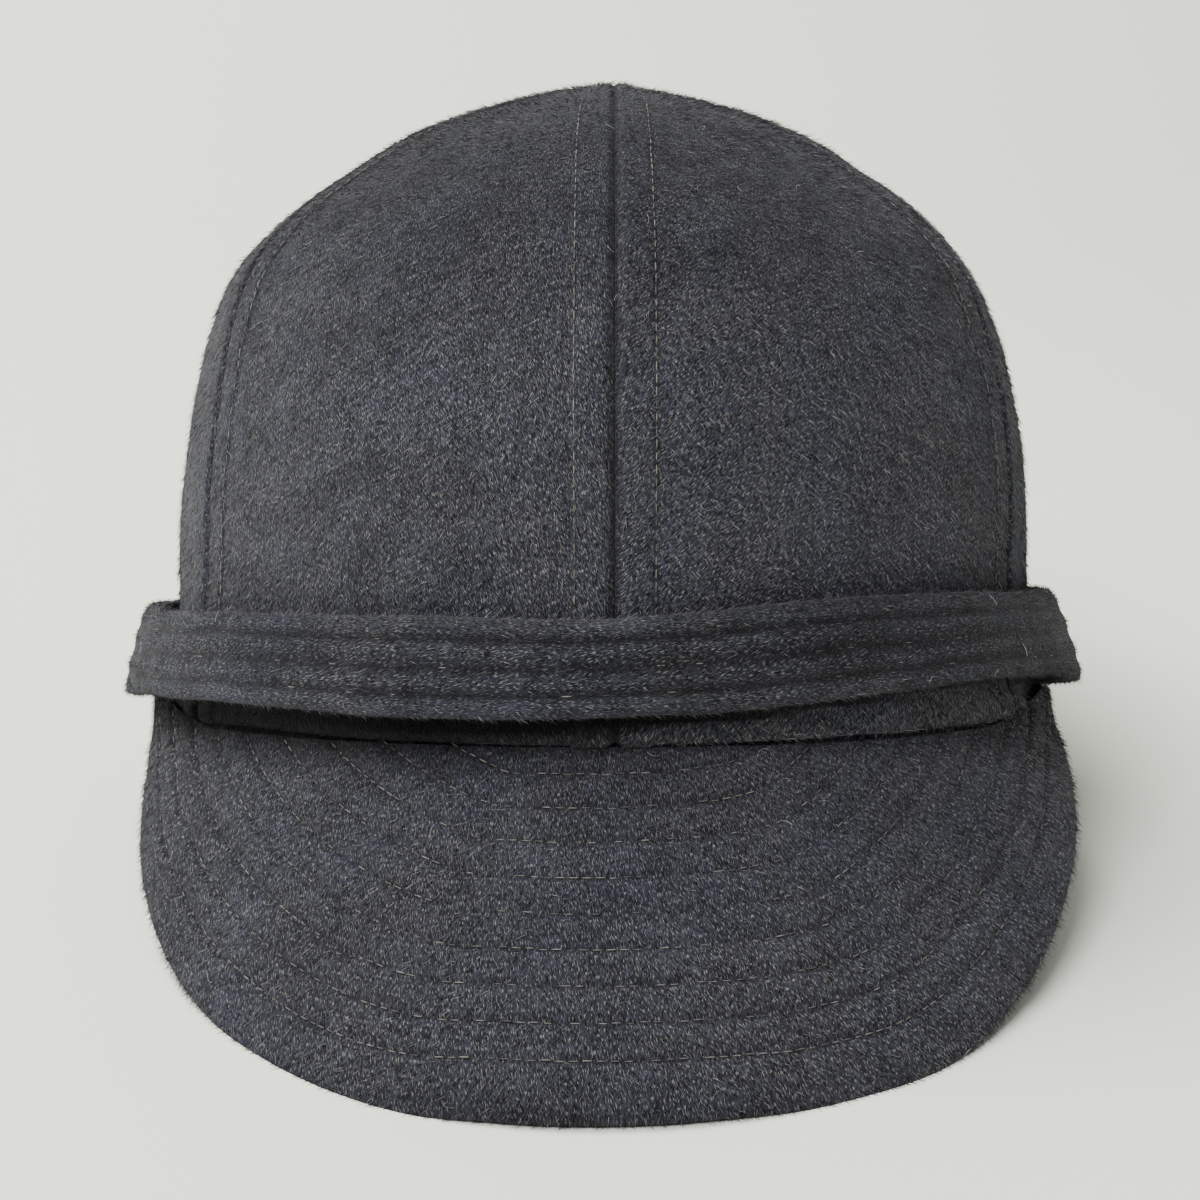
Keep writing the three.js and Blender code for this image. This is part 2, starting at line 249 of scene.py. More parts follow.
# %% [markdown]
# Thick wool never lies perfectly even. Two sizes of smooth noise lift and sink it by a fraction of
# a millimetre. All six gores use the same noise, so that neighbours swell together.

# %% Unevenness of the cloth
def cloth_noise(points, size, seed):
    """Smooth noise at every point, in patches about as wide as size in millimetres."""
    offset = Vector((seed * 17.3, seed * 5.1, seed * 9.7))
    values = [noise.noise(Vector(p) / size + offset) for p in points.reshape(-1, 3)]
    return np.array(values).reshape(points.shape[:-1])


def grid_points(bm):
    """The two coordinates of a fresh grid's vertices, from 0 to 1, in the order of its vertices."""
    co = np.array([vert.co[:2] for vert in bm.verts])
    return (co[:, 0] + 1) / 2, (co[:, 1] + 1) / 2


def flat_grid(columns, rows):
    """A square sheet of cloth from -1 to 1, with that many squares each way."""
    bm = bmesh.new()
    bmesh.ops.create_grid(bm, x_segments=columns, y_segments=rows, size=1)
    bm.verts.ensure_lookup_table()
    return bm


print("noise sample:", round(float(cloth_noise(np.array([[1.0, 2.0, 3.0]]), 30, 1)[0]), 3))

# %% [markdown]
# The wool's finish comes first, because every piece wears it. Shader sums read best as plain
# expressions, so one small class wraps a socket and turns + - * into nodes.

# %% Shader sums as expressions
class Value:
    """A socket of a material, for arithmetic."""

    def __init__(self, tree, socket):
        self.tree, self.socket = tree, socket

    def node(self, kind, values, out=0, **settings):
        """Adds a node: its settings first, then the values or links of its sockets."""
        new = self.tree.nodes.new(kind)
        for name, setting in settings.items():
            setattr(new, name, setting)
        for name, value in values.items():
            if isinstance(value, Value):
                self.tree.links.new(value.socket, new.inputs[name])
            else:
                new.inputs[name].default_value = value
        return Value(self.tree, new.outputs[out])

    def sum(self, operation, a, b):
        return self.node("ShaderNodeMath", {0: a, 1: b}, operation=operation)

    def __add__(self, other):
        return self.sum("ADD", self, other)

    __radd__ = __add__

    def __mul__(self, other):
        return self.sum("MULTIPLY", self, other)

    __rmul__ = __mul__

    def __sub__(self, other):
        return self.sum("SUBTRACT", self, other)

    def __rsub__(self, other):
        return self.sum("SUBTRACT", other, self)

    def between(self, low, high):
        """0 at low and 1 at high, clipped."""
        return self.node("ShaderNodeMapRange", {"Value": self, "From Min": low, "From Max": high})

    def mix(self, first, second):
        """A colour between two, at this value."""
        return self.node("ShaderNodeMix", {0: self, 6: first, 7: second}, out=2, data_type="RGBA")


def new_material(name):
    """An empty Principled material, and a Value to start its sums from."""
    material = bpy.data.materials.new(name)
    material.use_nodes = True
    tree = material.node_tree
    shader = tree.nodes["Principled BSDF"]
    return material, tree, shader, Value(tree, None)


# %% [markdown]
# Melton is fulled wool: its weave is hidden under a short nap of dark and pale hairs that all lean
# one way. On the shader that is noise stretched along the nap. The cloth's UV map is in
# centimetres with V along the nap, so the streaks turn with the cloth. Two attributes help: groove
# darkens the sewn lines, where the nap is pressed in and shade is painted into the dip, and tone
# multiplies the colour by the nap's random mottling and by painted light and shade.

# %% The wool
DARK_WOOL = (0.0055, 0.0055, 0.0065, 1)
GREY_WOOL = (0.044, 0.0455, 0.06, 1)
PALE_HAIR = (0.27, 0.265, 0.25, 1)
NAVY_CAST = (0.93, 0.96, 1.08, 1)
# near black for the sewn lines: pressed nap, with painted shade in the dip
PRESSED_AND_SHADED_WOOL = (0.008, 0.008, 0.009, 1)
BLACK, WHITE = (0, 0, 0, 1), (1, 1, 1, 1)


def wool_material(name):
    material, tree, shader, start = new_material(name)
    cloth = start.node("ShaderNodeUVMap", {}, uv_map="cloth")
    groove = start.node("ShaderNodeAttribute", {}, out="Fac", attribute_name="groove")
    tone = start.node("ShaderNodeAttribute", {}, out="Fac", attribute_name="tone")

    def streaks(across, along, detail, shift, turned=0.0, curl=0.0):
        """Noise with so many streaks a centimetre across the nap and along it."""
        turning = {"Vector": cloth, "Angle": turned}
        lie = start.node("ShaderNodeVectorRotate", turning, rotation_type="Z_AXIS")
        placing = {"Vector": lie, "Location": (shift, 2 * shift, 0), "Scale": (across, along, 1)}
        place = start.node("ShaderNodeMapping", placing)
        settings = {"Vector": place, "Scale": 1.0, "Detail": detail, "Roughness": 0.6, "Distortion": curl}
        return start.node("ShaderNodeTexNoise", settings, noise_dimensions="2D")

    leaning_left = streaks(40, 8, 1.0, 3.1, 0.42, 0.5)
    leaning_right = streaks(44, 9, 1.0, 7.7, -0.34, 0.5)
    hairs = leaning_left.sum("MAXIMUM", leaning_left, leaning_right)
    tufts = streaks(9, 5, 3.0, 1.3, 0.1, 0.8)
    clouds = streaks(0.9, 0.7, 2.0, 5.5)
    salt = streaks(62, 11, 0.0, 9.1, 0.2).between(0.66, 0.8)
    weight = hairs * 0.85 + tufts * 0.3 + clouds * 0.1 - 0.665
    cloth_colour = weight.between(-0.11, 0.13).mix(DARK_WOOL, GREY_WOOL)
    salted = (salt * 0.6).mix(cloth_colour, PALE_HAIR)
    # the sewn lines: pressed nap, and painted shade in their dips
    pressed = (groove * 0.75).mix(salted, PRESSED_AND_SHADED_WOOL)
    cast = streaks(0.5, 0.45, 1.0, 2.2).between(0.4, 0.8).mix(WHITE, NAVY_CAST)
    multiply = {"data_type": "RGBA", "blend_type": "MULTIPLY"}
    tinted = start.node("ShaderNodeMix", {0: 1.0, 6: pressed, 7: cast}, out=2, **multiply)
    # the tone attribute multiplies the colour: random mottling, and painted light and shade
    tree.links.new(tone.mix(BLACK, tinted).socket, shader.inputs["Base Color"])
    height = hairs * 0.7 + tufts * 0.5
    bump = start.node("ShaderNodeBump", {"Height": height, "Strength": 0.9, "Distance": 0.0006})
    tree.links.new(bump.socket, shader.inputs["Normal"])
    tree.links.new((0.97 - salt * 0.12).socket, shader.inputs["Roughness"])
    shader.inputs["Specular IOR Level"].default_value = 0.15
    shader.inputs["Sheen Weight"].default_value = 0.1
    shader.inputs["Sheen Roughness"].default_value = 0.45
    shader.inputs["Sheen Tint"].default_value = (0.55, 0.56, 0.62, 1)
    return material


wool = wool_material("charcoal wool")
print("material:", wool.name, len(wool.node_tree.nodes), "nodes")

# %% [markdown]
# Loose hairs stand on every piece, and the sewing thread is a little paler than the cloth. Both
# take their shade from an attribute, so that one material serves thousands of small pieces.

# %% Hair and thread
def strand_material(name, dark, pale, roughness):
    material, tree, shader, start = new_material(name)
    shade = start.node("ShaderNodeAttribute", {}, out="Fac", attribute_name="shade")
    tree.links.new(shade.mix(dark, pale).socket, shader.inputs["Base Color"])
    shader.inputs["Roughness"].default_value = roughness
    shader.inputs["Specular IOR Level"].default_value = 0.2
    return material


HAIR_SHADES = (0.0055, 0.0055, 0.0075, 1), (0.34, 0.337, 0.35, 1)
THREAD_SHADES = (0.035, 0.035, 0.034, 1), (0.165, 0.16, 0.142, 1)
hair = strand_material("wool hair", *HAIR_SHADES, 0.85)
thread = strand_material("sewing thread", *THREAD_SHADES, 0.7)


# %% [markdown]
# A sheet of cloth starts as a flat grid. Its vertices are carried to their places on the cap by
# the surface functions above, as a flat pattern is sewn to shape.

# %% From a flat grid to a cloth piece
def nap_down(points):
    """The way the hairs lean on the crown and the peak: down, and outwards from the middle."""
    aside = np.tanh(points[:, 0] / 16) * 0.8
    return np.stack([aside, -0.25 + 0 * aside, -0.85 + 0 * aside], -1)


def head_turn(points):
    """The turn round the head in degrees, 0 at the front and positive to the right."""
    return np.degrees(np.arctan2(points[:, 0] / HALF_WIDTH, -points[:, 1] / HALF_LENGTH))


def mottle(points):
    """Nap never lies quite evenly: broad and small patches of it look paler or darker."""
    broad, small, fine = (cloth_noise(points, size, 50 + size) for size in (26, 10, 4))
    return np.clip(1 + 0.17 * broad + 0.24 * small + 0.26 * fine, 0.65, 1.4)


def crown_mottle_and_painted_light(points):
    """Painted light and shade over the nap's random mottling: the crown is painted paler to the right
    and darker over its top, as the light falls, with painted shadow just under the band and at the
    left of the foot, and painted light on the foot at the right."""
    turn, height = head_turn(points), points[:, 2]
    low = 1 - smooth(10, 14, height)
    # painted shadow just under the band
    painted_shadow_under_band = low * (1 - smooth(2.0, 3.8, table_curve(BAND, 2, turn) - height))
    # painted shadow at the left of the foot
    left = (1 - smooth(4, 10, height)) * (1 - smooth(-25, 14, turn))
    # painted light on the foot at the right
    right = (1 - smooth(5, 9, height)) * smooth(-5, 30, turn)
    # painted shade over the top, and painted light paler to the right
    top = (1.03 - 0.45 * smooth(50, 103, height)) * (1 + 0.2 * np.tanh(points[:, 0] / 40))
    return mottle(points) * top * (1 - 0.94 * painted_shadow_under_band) * (1 - 0.88 * left) * (1 + 1.5 * right)


def band_mottle_and_painted_light(points):
    """Painted light and shade over the nap's random mottling: painted highlights along the folded
    edges, and the band painted darker to the right and paler at the front, as the light falls.
    """
    turn, height = head_turn(points), points[:, 2]
    # painted highlights along the lower and upper folded edges
    lower = np.exp(-(((height - table_curve(BAND, 2, turn) - 1.9) / 1.5) ** 2))
    upper = np.exp(-(((table_curve(BAND, 1, turn) - 1.6 - height) / 1.4) ** 2))
    # painted shade darker to the right, and painted light at the front
    side = 0.76 - 0.14 * smooth(-50, 55, turn) * (1 - smooth(95, 150, turn))
    side += 0.07 * np.exp(-((turn / 30) ** 2))
    return mottle(points) * side * (1 + 0.2 * lower + 0.12 * upper)


def peak_mottle_and_painted_light(points):
    """Over the nap's random mottling the peak is a little darker along its rim, has painted shadow at
    the left of its sewn edge under the band, and is painted paler to the right, as the light falls.
    """
    low = smooth(-30, -56, points[:, 2])
    # painted shadow under the band, at the left of the sewn edge
    left = (1 - smooth(1, 9, -points[:, 2])) * (1 - smooth(-30, 20, head_turn(points)))
    # painted light, paler to the right
    side = 1 + 0.14 * np.tanh(points[:, 0] / 40)
    lit = 0.82 - 0.02 * low - 0.17 * smooth(-48, -57, points[:, 2])
    return (0.5 + 0.5 * mottle(points)) * lit * side * (1 - 0.72 * left)


def nap_round(points):
    """On the band they lean round the head, and a little down."""
    turn = np.radians(head_turn(points))
    return np.stack([np.cos(turn), np.sin(turn), -0.3 + 0 * turn], -1)


def cloth_piece(name, bm, points, cloth_uv, groove, tone, node_names, wall=None, closed=False, flip=False):
    """Puts the grid's vertices on points, in upright millimetres, and makes the piece."""
    for vert, place in zip(bm.verts, to_scene(points)):
        vert.co = place
    layer = bm.loops.layers.uv.new("cloth")
    # groove and tone go to the shader; tone holds random mottling, and painted light and shade
    for title, values in (("groove", groove), ("tone", tone)):
        attribute = bm.verts.layers.float.new(title)
        for vert, value in zip(bm.verts, values):
            vert[attribute] = value
    for face in bm.faces:
        for loop in face.loops:
            loop[layer].uv = cloth_uv[loop.vert.index]
    bmesh.ops.remove_doubles(bm, verts=bm.verts, dist=2e-6)
    if closed:
        bmesh.ops.holes_fill(bm, edges=[edge for edge in bm.edges if edge.is_boundary])
    if flip:
        bmesh.ops.reverse_faces(bm, faces=bm.faces)
    for face in bm.faces:
        face.smooth = True
    mesh = bpy.data.meshes.new(name)
    bm.to_mesh(mesh)
    bm.free()
    piece = bpy.data.objects.new(name, mesh)
    bpy.context.collection.objects.link(piece)
    mesh.materials.append(wool)
    if wall:
        shell = piece.modifiers.new("wall", "SOLIDIFY")
        shell.thickness, shell.offset = wall, -1
    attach(piece, "root")
    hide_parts(*node_names)
    print(name, len(mesh.vertices), "vertices", len(mesh.polygons), "faces")
    return piece


# %% [markdown]
# Each gore of the crown is cut from one sheet. Along both of its sewn edges the cloth dives into
# the seam, stands up over its pressed allowance, and dips again under a line of topstitching. The
# crown's foot is rolled, and is sewn down over the inner edge of the peak.

# %% The crown's gores
TOPSTITCH = 7.2  # millimetres from the seam
FULL_RELIEF = 44  # millimetres of gore that its seams need for their full relief
GORE_WALL = 0.0027  # metres


def seam_squeeze(width):
    """How far a seam's relief shrinks where its gore is narrow, near the top of the crown."""
    return np.clip(width / FULL_RELIEF, 0.12, 1)


def seam_relief(distance, squeeze):
    """How far the cloth lies above or below at a distance from a seam."""
    d = distance / squeeze
    roll = -1.1 * squeeze * np.exp(-((d / 1.15) ** 2))
    allowance = 0.5 * smooth(0.2, 1.6, d) * (1 - smooth(TOPSTITCH - 0.9, TOPSTITCH + 1.1, d))
    stitched = -0.3 * np.exp(-(((d - TOPSTITCH) / 0.55) ** 2))
    return (roll + allowance + stitched) * squeeze


def seam_groove(distance, squeeze):
    """How far the nap is pressed in at a distance from a seam. The same share sets the shade painted
    into the dip there.
    """
    d = distance / squeeze
    return np.maximum(0.9 * np.exp(-((d / 0.75) ** 2)), 0.3 * np.exp(-(((d - TOPSTITCH) / 0.45) ** 2)))


def crown_lie(points):
    """How far the crown's cloth lies above or below its cut surface."""
    lie = 0.75 * cloth_noise(points, 34, 1) + 0.28 * cloth_noise(points, 11, 2)
    # a small crease in the left front gore
    x, z = points[..., 0], points[..., 2]
    along = (z - 49) / 20
    across = (x + 45.5 + 6.0 * along) * (points[..., 1] < 0) + 99 * (points[..., 1] >= 0)
    fade = np.exp(-(((along - 0.5) / 0.55) ** 4))
    ridge, crease = np.exp(-(((across - 1.6) / 1.6) ** 2)), np.exp(-((across / 0.8) ** 2))
    return lie + fade * (0.75 * ridge - 1.15 * crease)


def crown_foot(turn, height):
    """How far the rolled foot stands out, and how far it is drawn down over the peak's sewn edge.
    Beyond the ends of the peak the foot stands out towards the band, which narrows the gap there."""
    aside = np.degrees(np.abs(np.arctan2(np.sin(turn), np.cos(turn))))
    front = 1 - smooth(80, 100, aside)
    stands = (1.0 + 2.3 * smooth(40, 72, aside)) * np.exp(-(((height - 1.6) / 2.4) ** 2))
    curls = 1.3 * (1 - smooth(0, 1.5, height))
    reach = table_curve(BAND, 3, np.degrees(np.arctan2(np.sin(turn), np.cos(turn)))) + 1.0
    towards_band = reach * smooth(70, 88, aside) * np.exp(-(((height - 2.4) / 2.0) ** 2))
    return (stands - curls) * front + towards_band, 2.0 * (1 - smooth(0, 5, height)) * front


def crown_place(turn, share, d0, d1, squeeze):
    """A point of the finished crown. All the gores meet in one point at its top."""
    out = surface_normals(crown_surface, turn, np.clip(share, 0.01, 0.985))
    flat = crown_surface(turn, share)
    stands, drawn = crown_foot(turn, flat[..., 2])
    rise = seam_relief(d0, squeeze) + seam_relief(d1, squeeze) + crown_lie(flat) + stands
    pointed = 0.5 * np.logaddexp(0, (flat[..., 2] - 118.4) / 0.5)
    flat = flat - np.stack([0 * drawn, 0 * drawn, drawn + pointed], -1)
    top = smooth(0.97, 1, share)[..., None]
    placed = flat + out * rise[..., None]
    tip = crown_surface(0 * turn, 0 * share + 1) * (0, 0, 1) + (TIP_ASIDE, 0, -0.5)
    return placed + (tip - placed) * top


def crown_gore(name, first, last, lean):
    """One gore between the seams at two turns. lean turns its nap away from straight down."""
    bm = flat_grid(90, 78)
    u, v = grid_points(bm)
    u = u - 0.62 * np.sin(2 * np.pi * u) / (2 * np.pi)
    turn = first + (last - first) * u
    levels = np.linspace(0, 1, 60)
    steps = np.linspace(first, last, 40)
    lines = crown_surface(steps[None, :], levels[:, None])
    girth = np.linalg.norm(np.diff(lines, axis=1), axis=-1).sum(1)
    width = np.interp(v, levels, girth)
    squeeze = seam_squeeze(width)
    points = crown_place(turn, v, u * width, (1 - u) * width, squeeze)
    rise = np.linalg.norm(np.diff(lines[:, 20], axis=0), axis=-1)
    height = np.interp(v, levels, np.concatenate([[0], np.cumsum(rise)]))
    across = (u - 0.5) * width
    c, s = math.cos(lean), math.sin(lean)
    cloth_uv = np.stack([across * c - height * s, across * s + height * c], -1) / 10
    groove = np.maximum(seam_groove(u * width, squeeze), seam_groove((1 - u) * width, squeeze))
    tone = crown_mottle_and_painted_light(points)
    return cloth_piece(name + "_cloth", bm, points, cloth_uv, groove, tone, [name], wall=GORE_WALL)


FRONT, BACK = SEAM_TWIST, math.pi + SEAM_TWIST
GORES = [
    # name, first turn, last turn, lean of the nap
    ("crown_front_right", FRONT, FRONT + SIDE_SEAM, 0.62),
    ("crown_side_right", FRONT + SIDE_SEAM, BACK - SIDE_SEAM, 0.35),
    ("crown_back_right", BACK - SIDE_SEAM, BACK, 0.2),
    ("crown_back_left", BACK, BACK + SIDE_SEAM, -0.2),
    ("crown_side_left", BACK + SIDE_SEAM, 2 * math.pi + FRONT - SIDE_SEAM, -0.35),
    ("crown_front_left", FRONT - SIDE_SEAM, FRONT, -0.62),
]
gores = [crown_gore(*row) for row in GORES]

# %% [markdown]
# The ear band is a folded strip sewn into a ring. A grid whose two ends and two long edges meet
# makes such a ring, and merging its doubles sews it shut. Three rows of stitching draw in the
# cloth, and it puffs up between them and puckers a little across them.

# %% The ear band
BAND_ROWS = (0.27, 0.5, 0.74)
BAND_TALL, BAND_ROUND, BAND_RADIUS = 17, 42, 92  # millimetres up it, round its section, to its middle


def band_height(around):
    """The share of the band's height at a place round its section."""
    return 0.5 - 0.5 * np.cos(2 * np.pi * around)


def band_rows(up):
    """0 between the rows of stitching and 1 on a row. up is a share of the band's height."""
    return sum(np.exp(-(((up - row) * BAND_TALL) ** 2)) for row in BAND_ROWS)


def band_place(turn, around):
    flat = band_surface(turn, around)
    outer = away_from_head(turn)
    up = band_height(around)
    face = np.where(around < 0.5, 1.0, -1.0) * smooth(0.02, 0.1, up) * (1 - smooth(0.9, 0.98, up))
    depth = 0.25 + 0.75 * np.cos(turn) ** 2
    puff = 0.25 * smooth(0.05, 0.25, up) * (1 - smooth(0.75, 0.95, up)) - 0.95 * band_rows(up) * depth
    stretched = np.stack([flat[:, 0], flat[:, 1], flat[:, 2] * 0.35], -1)
    pucker = 0.42 * cloth_noise(stretched, 6.5, 4) + 0.6 * cloth_noise(flat, 24, 5)
    level = np.stack([flat[:, 0], flat[:, 1], 0 * turn], -1)
    wavy = np.stack([0 * turn, 0 * turn, 0.5 * cloth_noise(level, 19, 6)], -1)
    return flat + outer * (face * (puff + pucker))[:, None] + wavy


bm = flat_grid(420, 52)
u, v = grid_points(bm)
turn = 2 * np.pi * u - np.pi
points = band_place(turn, v)
cloth_uv = np.stack([v * BAND_ROUND, turn * BAND_RADIUS], -1) / 10
# the rows' groove darkens them: pressed nap, and painted shade in their dips
groove = np.clip(band_rows(band_height(v)), 0, 1)
ear_band = cloth_piece("ear_band_cloth", bm, points, cloth_uv, groove, band_mottle_and_painted_light(points), ["ear_band"])

# %% [markdown]
# The peak is two cloths quilted together. Its section is a flat loop too: out along the top cloth,
# round the edge and back underneath. Nine rows of stitching follow the outer edge at even
# distances. How far a vertex lies from that edge is asked of a tree of points along it.

# %% The peak
from mathutils.kdtree import KDTree

TUCK = -0.07
ROW_START, ROW_STEP, ROW_COUNT = 9.7, 6.35, 9
edge_swing = np.linspace(-1, 1, 1200)
edge_line = peak_surface(edge_swing, np.ones_like(edge_swing))
edge_tree = KDTree(len(edge_line))
for number, place in enumerate(edge_line):
    edge_tree.insert(place, number)
edge_tree.balance()


def from_edge(points):
    """How far points lie from the peak's outer edge."""
    return np.array([edge_tree.find(p)[2] for p in points])


def peak_middle(swing, share):
    """The peak's surface, and beyond its sewn edge the allowance that turns up inside the rim."""
    turn = np.radians(peak_turn(swing))
    tucked = np.clip(share / TUCK, 0, 1)
    inwards, upwards = np.clip(tucked * 2, 0, 1)[..., None], np.clip(tucked * 2 - 1, 0, 1)
    inside = np.stack([
        (HALF_WIDTH * 0.985 - 6) * np.sin(turn),
        -(HALF_LENGTH * 0.985 - 6) * np.cos(turn),
        7 * upwards - 1.6,
    ], -1)
    bend = peak_surface(swing, np.clip(share, 0.012, 1))
    bend[..., 2] += 4.5 * smooth(52, 76, np.degrees(np.abs(turn))) * (1 - smooth(0, 0.5, share))
    return bend + (inside - bend) * inwards


def peak_rows(distance):
    """0 between the rows of stitching and 1 on a row."""
    steps = (distance - ROW_START) / ROW_STEP
    nearest = np.clip(np.round(steps), 0, ROW_COUNT - 1)
    return np.exp(-(((steps - nearest) * ROW_STEP / 0.7) ** 2))


def peak_place(swing, share, height):
    flat = peak_middle(swing, share)
    out = -surface_normals(peak_middle, swing, np.clip(share, TUCK + 0.003, 0.995), 0.003)
    distance = from_edge(flat)
    rows = peak_rows(distance)
    face = np.sign(height) * np.clip(np.abs(height), 0, 1) ** 2 * smooth(-0.01, 0.03, share)
    quilt = 0.3 - 0.68 * rows + 0.26 * cloth_noise(flat, 7, 8)
    sag = 0.9 * cloth_noise(flat, 42, 9) * smooth(0.05, 0.5, share)
    middle = flat + out * sag[:, None]
    return middle + out * (2.35 * height + face * quilt)[:, None], rows


bm = flat_grid(216, 180)
u, v = grid_points(bm)
v = v - 0.08 * np.sin(np.pi * v) ** 2  # more rows of the grid for the top cloth
angle = 2 * np.pi * v
c, s = np.cos(angle), np.sin(angle)
share = TUCK + (1 - TUCK) * (0.5 - 0.5 * np.sign(c) * np.abs(c) ** 0.86)
height = np.sign(s) * np.abs(s) ** 0.3
swing = np.clip(u * 2 - 1, -0.992, 0.992)
points, rows = peak_place(swing, share, height)
PIVOT, FAN_ACROSS, FAN_ALONG = 118, 150, 1.25  # its nap fans out from a point above the front
middle = peak_surface(swing, np.clip(share, 0, 1))
fan = np.arctan2(middle[:, 0], PIVOT - middle[:, 2])
reach = np.hypot(middle[:, 0], PIVOT - middle[:, 2]) + 110 * np.clip(share, TUCK, 0)
cloth_uv = np.stack([fan * FAN_ACROSS, reach * FAN_ALONG], -1) / 10
# its groove, rows * 0.45, darkens the quilting rows: pressed nap, and painted shade in their dips
peak = cloth_piece(
    "peak_cloth", bm, points, cloth_uv, rows * 0.45, peak_mottle_and_painted_light(points), ["peak_top", "peak_under"],
    closed=True, flip=True)

# %% [markdown]
# Sewing thread shows as a short raised dash between two needle holes. One small stitch is shaped
# from a sphere, and copies of it are laid along a seam by an array of places and directions.

# %% Copies of one small shape
def template(build):
    """The vertices and triangles of a small shape that bmesh builds."""
    bm = bmesh.new()
    build(bm)
    bmesh.ops.triangulate(bm, faces=bm.faces)
    verts = np.array([v.co[:] for v in bm.verts])
    faces = np.array([[v.index for v in f.verts] for f in bm.faces])
    bm.free()
    return verts, faces


def copies(name, shape, places, forward, up, scale, shade, material):
    """Joins a copy of the shape at every place, with its X along forward and its Z towards up."""
    verts, faces = shape
    x = forward / np.linalg.norm(forward, axis=1, keepdims=True)
    y = np.cross(up, x)
    y /= np.linalg.norm(y, axis=1, keepdims=True)
    z = np.cross(x, y)
    sized = verts[None] * scale[:, None, :]
    world = sized[..., :1] * x[:, None] + sized[..., 1:2] * y[:, None]
    world = world + sized[..., 2:] * z[:, None] + places[:, None]
    count = len(verts)
    index = faces[None] + (np.arange(len(places)) * count)[:, None, None]
    mesh = bpy.data.meshes.new(name)
    mesh.vertices.add(len(places) * count)
    mesh.vertices.foreach_set("co", to_scene(world.reshape(-1, 3)).astype(np.float32).ravel())
    mesh.loops.add(index.size)
    mesh.loops.foreach_set("vertex_index", index.astype(np.int32).ravel())
    mesh.polygons.add(index.size // 3)
    mesh.polygons.foreach_set("loop_start", np.arange(0, index.size, 3, dtype=np.int32))
    mesh.update(calc_edges=True)
    shades = mesh.attributes.new("shade", "FLOAT", "POINT")
    shades.data.foreach_set("value", np.repeat(shade, count).astype(np.float32))
    mesh.materials.append(material)
    piece = bpy.data.objects.new(name, mesh)
    bpy.context.collection.objects.link(piece)
    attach(piece, "root")
    print(name, len(places), "copies", len(mesh.polygons), "triangles")
    return piece


Z_TO_X = Matrix.Rotation(math.pi / 2, 4, "Y")


def stitch_shape(bm):
    bmesh.ops.create_uvsphere(bm, u_segments=5, v_segments=4, radius=1, matrix=Z_TO_X)


STITCH = template(stitch_shape)
STITCH_STEP, STITCH_LENGTH, THREAD = 2.15, 1.7, 0.25


def evenly(line, step):
    """Points along a line at even steps, with the line's direction and place there."""
    lengths = np.concatenate([[0], np.cumsum(np.linalg.norm(np.diff(line, axis=0), axis=1))])
    at = np.arange(step, lengths[-1] - step, step)
    return np.stack([np.interp(at, lengths, line[:, k]) for k in range(3)], -1), at / lengths[-1]


class Stitches:
    """Gathers the stitches of one piece, row by row."""

    def __init__(self, seed):
        self.places, self.ways, self.ups = [], [], []
        self.rng = np.random.default_rng(seed)

    def row(self, line, ups, low, high):
        """Adds a row. Each stitch stands between low and high above the line, as the nap lets it."""
        mids, at = evenly(line, STITCH_STEP)
        way = np.gradient(mids, axis=0)
        lengths = np.concatenate([[0], np.cumsum(np.linalg.norm(np.diff(line, axis=0), axis=1))])
        up = np.stack([np.interp(at, lengths / lengths[-1], ups[:, k]) for k in range(3)], -1)
        self.places.append(mids + up * self.rng.uniform(low, high, (len(mids), 1)))
        self.ways.append(way)
        self.ups.append(up)

    def sewn(self, name):
        places, ways, ups = (np.concatenate(parts) for parts in (self.places, self.ways, self.ups))
        size = np.array([STITCH_LENGTH / 2, THREAD / 2, THREAD / 2.4])
        scale = size * self.rng.uniform(0.8, 1.1, (len(places), 1))
        shade = self.rng.uniform(0.15, 1, len(places))
        return copies(name, STITCH, places, ways, ups, scale, shade, thread)


# %% [markdown]
# Both sides of all the crown's seams are topstitched. A row's line is asked of the gore's own
# surface function, at a fixed distance from its seam, and sits in the dip pressed there.

# %% Topstitching on the crown
FIRST_STITCH, LAST_STITCH = 0.07, 0.96  # shares of the way up the crown


def seam_line(first, last, from_first):
    """The line of topstitching beside a gore's first or last seam, and the way up from it."""
    share = np.linspace(FIRST_STITCH, LAST_STITCH, 150)
    steps = np.linspace(first, last, 40)
    lines = crown_surface(steps[None, :], share[:, None])
    width = np.linalg.norm(np.diff(lines, axis=1), axis=-1).sum(1)
    squeeze = seam_squeeze(width)
    distance = TOPSTITCH * squeeze
    part = distance / width
    turn = first + (last - first) * (part if from_first else 1 - part)
    d0, d1 = (distance, width - distance) if from_first else (width - distance, distance)
    ups = surface_normals(crown_surface, turn, np.clip(share, 0.01, 0.98))
    return crown_place(turn, share, d0, d1, squeeze), ups


crown_rows = Stitches(11)
for _, first, last, _ in GORES:
    for from_first in (True, False):
        line, ups = seam_line(first, last, from_first)
        crown_rows.row(line, ups, 0.38, 0.7)
crown_rows.sewn("crown_stitches")

# %% Stitching on the band and the peak
band_rows_sewn = Stitches(12)
ring = np.linspace(-np.pi, np.pi, 900)
for row in BAND_ROWS:
    around = np.full_like(ring, np.arccos(1 - 2 * row) / (2 * np.pi))
    line = band_place(ring, around)
    band_rows_sewn.row(line, away_from_head(ring), -0.5, 0.04)
band_rows_sewn.sewn("band_stitches")

